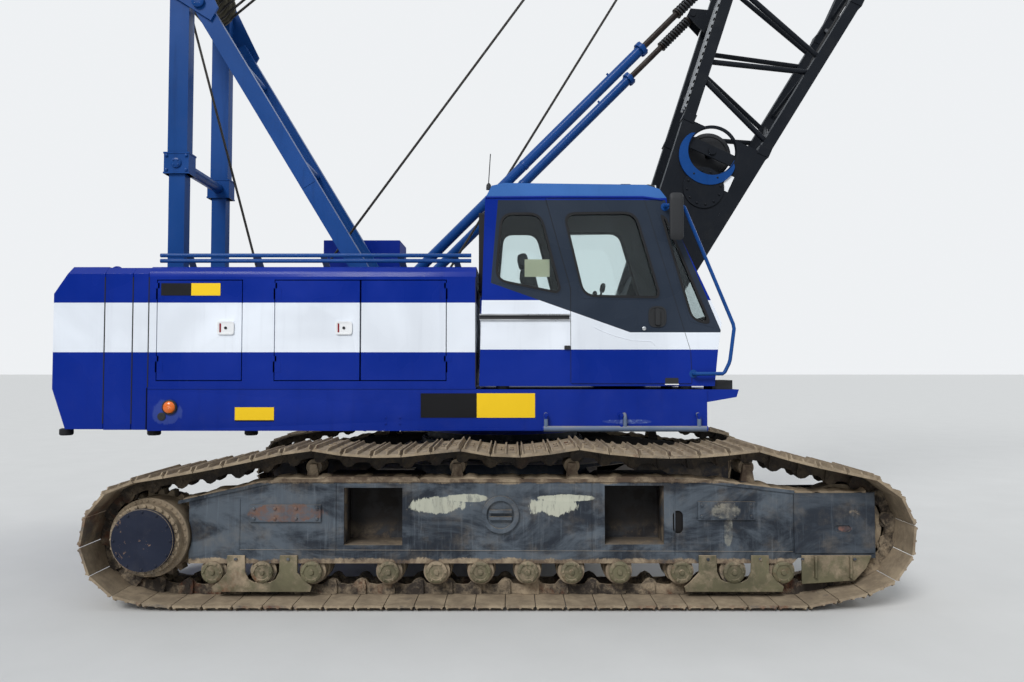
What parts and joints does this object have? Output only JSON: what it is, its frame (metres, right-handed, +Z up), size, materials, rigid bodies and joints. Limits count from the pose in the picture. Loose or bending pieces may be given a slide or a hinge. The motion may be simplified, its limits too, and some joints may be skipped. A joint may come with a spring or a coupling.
{
  "type": "crawler crane",
  "caption": "Crawler crane with a lattice boom, gantry and pendants, swing deck with counterweight, machinery houses, cab, hoist drums and a hook block.",
  "frame": {"origin": "on the ground under the swing axis, midway between the tracks", "axes": "+X forward along the machine, +Y to its left, +Z up"},
  "size_m": [11.3366, 4.8, 13.7774],
  "materials": {
    "frame_paint": "worn",
    "worn_steel": "rough",
    "track_steel": "rough",
    "guard_paint": "worn",
    "blue_paint": "gloss",
    "tube_paint": "gloss",
    "engine_paint": "satin",
    "black_plastic": "matte",
    "cab_glazing": "gloss",
    "drum_steel": "satin",
    "boom_paint": "satin",
    "sheave_paint": "satin",
    "rope_steel": "satin",
    "rod_steel": "satin",
    "hook_paint": "worn",
    "hook_steel": "satin"
  },
  "bodies": {
    "undercarriage": {"carbody": "frame_paint", "swing_ring": "worn_steel", "side_frame_right": "frame_paint", "side_frame_left": "frame_paint", "track_right": "track_steel", "track_left": "track_steel", "sprockets": "worn_steel", "idlers": "worn_steel", "track_rollers": "worn_steel", "roller_guards": "guard_paint"},
    "upper": {"deck": "blue_paint", "counterweight": "blue_paint", "house_right": "blue_paint", "house_left": "blue_paint", "engine": "engine_paint", "exhaust_hood": "blue_paint", "handrails": "tube_paint", "cab_shell": "blue_paint", "cab_door": "blue_paint", "cab_glass": "cab_glazing", "cab_interior": "black_plastic", "cab_fittings": "black_plastic", "gantry_posts": "tube_paint", "gantry_legs": "tube_paint"},
    "door_right_rear": {"door_right_rear": "blue_paint"},
    "door_right_middle": {"door_right_middle": "blue_paint"},
    "door_right_front": {"door_right_front": "blue_paint"},
    "door_left_rear": {"door_left_rear": "blue_paint"},
    "door_left_middle": {"door_left_middle": "blue_paint"},
    "door_left_front": {"door_left_front": "blue_paint"},
    "main_drum": {"main_drum": "drum_steel"},
    "second_drum": {"second_drum": "drum_steel"},
    "luffing_drum": {"luffing_drum": "drum_steel"},
    "boom": {"boom_base": "boom_paint", "boom_top": "boom_paint"},
    "boom_drum": {"boom_drum": "drum_steel"},
    "tip_sheaves": {"tip_sheaves": "sheave_paint"},
    "gantry_block": {"gantry_sheaves": "tube_paint"},
    "stays": {"bridle": "tube_paint", "pendants": "rope_steel"},
    "stop_tubes": {"backstop_tubes": "tube_paint"},
    "stop_rods": {"backstop_rods": "rod_steel"},
    "hanger": {"becket_hanger": "hook_paint"},
    "block": {"hook_block": "hook_paint"},
    "hook": {"hook": "hook_steel"},
    "main_line_foot": {"main_line_lower": "rope_steel"},
    "main_line_head": {"main_line_upper": "rope_steel"},
    "second_line_foot": {"second_line_lower": "rope_steel"},
    "second_line_head": {"second_line_upper": "rope_steel"}
  },
  "joints": [
    {"name": "swing", "type": "hinge", "parent": "undercarriage", "child": "upper", "pos_m": [0, 0, 0], "axis": [0, 0, 1], "continuous": true},
    {"name": "luff", "type": "hinge", "parent": "upper", "child": "boom", "pos_m": [1.13, 0, 1.75], "axis": [0, -1, 0], "range_deg": [-35, 14]},
    {"name": "door_right_rear_swing", "type": "hinge", "parent": "upper", "child": "door_right_rear", "pos_m": [-2.854, -1.619, 2.076], "axis": [0, 0, -1], "range_deg": [0, 110]},
    {"name": "door_right_middle_swing", "type": "hinge", "parent": "upper", "child": "door_right_middle", "pos_m": [-1.874, -1.619, 2.076], "axis": [0, 0, -1], "range_deg": [0, 110]},
    {"name": "door_right_front_swing", "type": "hinge", "parent": "upper", "child": "door_right_front", "pos_m": [-0.452, -1.619, 2.076], "axis": [0, 0, 1], "range_deg": [0, 110]},
    {"name": "door_left_rear_swing", "type": "hinge", "parent": "upper", "child": "door_left_rear", "pos_m": [-2.854, 1.619, 2.076], "axis": [0, 0, 1], "range_deg": [0, 110]},
    {"name": "door_left_middle_swing", "type": "hinge", "parent": "upper", "child": "door_left_middle", "pos_m": [-1.874, 1.619, 2.076], "axis": [0, 0, 1], "range_deg": [0, 110]},
    {"name": "door_left_front_swing", "type": "hinge", "parent": "upper", "child": "door_left_front", "pos_m": [-0.452, 1.619, 2.076], "axis": [0, 0, -1], "range_deg": [0, 110]},
    {"name": "main_drum_turn", "type": "hinge", "parent": "upper", "child": "main_drum", "pos_m": [-1.9, 0, 2.16], "axis": [0, 1, 0], "continuous": true},
    {"name": "second_drum_turn", "type": "hinge", "parent": "upper", "child": "second_drum", "pos_m": [-0.62, 0, 2.16], "axis": [0, 1, 0], "continuous": true},
    {"name": "luffing_drum_turn", "type": "hinge", "parent": "upper", "child": "luffing_drum", "pos_m": [-2.62, 0, 2.06], "axis": [0, 1, 0], "continuous": true},
    {"name": "boom_drum_turn", "type": "hinge", "parent": "boom", "child": "boom_drum", "pos_m": [2.06032, 0, 3.88705], "axis": [0, 1, 0], "continuous": true},
    {"name": "tip_sheaves_turn", "type": "hinge", "parent": "boom", "child": "tip_sheaves", "pos_m": [6.8053, 0, 13.44748], "axis": [0, 1, 0], "continuous": true},
    {"name": "stay_swing", "type": "hinge", "parent": "upper", "child": "gantry_block", "pos_m": [-3.14, 0, 5.7], "axis": [0, -1, 0], "range_deg": [-31, 13]},
    {"name": "stay_slide", "type": "slide", "parent": "gantry_block", "child": "stays", "axis": [0.7728, 0, 0.6346], "range_m": [-1.5, 3.45]},
    {"name": "stop_swing", "type": "hinge", "parent": "upper", "child": "stop_tubes", "pos_m": [-1.17, 0, 2.39], "axis": [0, -1, 0], "range_deg": [-25, 10.5]},
    {"name": "stop_slide", "type": "slide", "parent": "stop_tubes", "child": "stop_rods", "axis": [0.7072, 0, 0.7071], "range_m": [-0.48, 1.19]},
    {"name": "hanger_swing", "type": "hinge", "parent": "boom", "child": "hanger", "pos_m": [6.8053, 0, 13.44748], "axis": [0, -1, 0], "range_deg": [-14.5, 35.5]},
    {"name": "hoist", "type": "slide", "parent": "hanger", "child": "block", "axis": [0, 0, 1], "range_m": [-4.2, 0.9]},
    {"name": "hook_turn", "type": "hinge", "parent": "block", "child": "hook", "pos_m": [7.1226, 0, 10.015], "axis": [0, 0, 1], "continuous": true},
    {"name": "main_line_swing", "type": "hinge", "parent": "upper", "child": "main_line_foot", "pos_m": [-1.9, 0, 2.16], "axis": [0, -1, 0], "range_deg": [-31, 13]},
    {"name": "main_line_slide", "type": "slide", "parent": "main_line_foot", "child": "main_line_head", "axis": [0.5897, 0, 0.8077], "range_m": [-0.65, 1.5]},
    {"name": "second_line_swing", "type": "hinge", "parent": "upper", "child": "second_line_foot", "pos_m": [-0.62, 0, 2.16], "axis": [0, -1, 0], "range_deg": [-33.5, 14]},
    {"name": "second_line_slide", "type": "slide", "parent": "second_line_foot", "child": "second_line_head", "axis": [0.5233, 0, 0.8522], "range_m": [-0.45, 0.95]}
  ],
  "couplings": [
    {"joint": "stay_swing", "follows": "luff", "ratio": 0.875},
    {"joint": "stay_slide", "follows": "luff", "m_per_rad": -5.525},
    {"joint": "stop_swing", "follows": "luff", "ratio": 0.705},
    {"joint": "stop_slide", "follows": "luff", "m_per_rad": -1.925},
    {"joint": "hanger_swing", "follows": "luff", "ratio": -1},
    {"joint": "main_line_swing", "follows": "luff", "ratio": 0.87},
    {"joint": "main_line_slide", "follows": "luff", "m_per_rad": -2.425},
    {"joint": "second_line_swing", "follows": "luff", "ratio": 0.94},
    {"joint": "second_line_slide", "follows": "luff", "m_per_rad": -1.5}
  ]
}
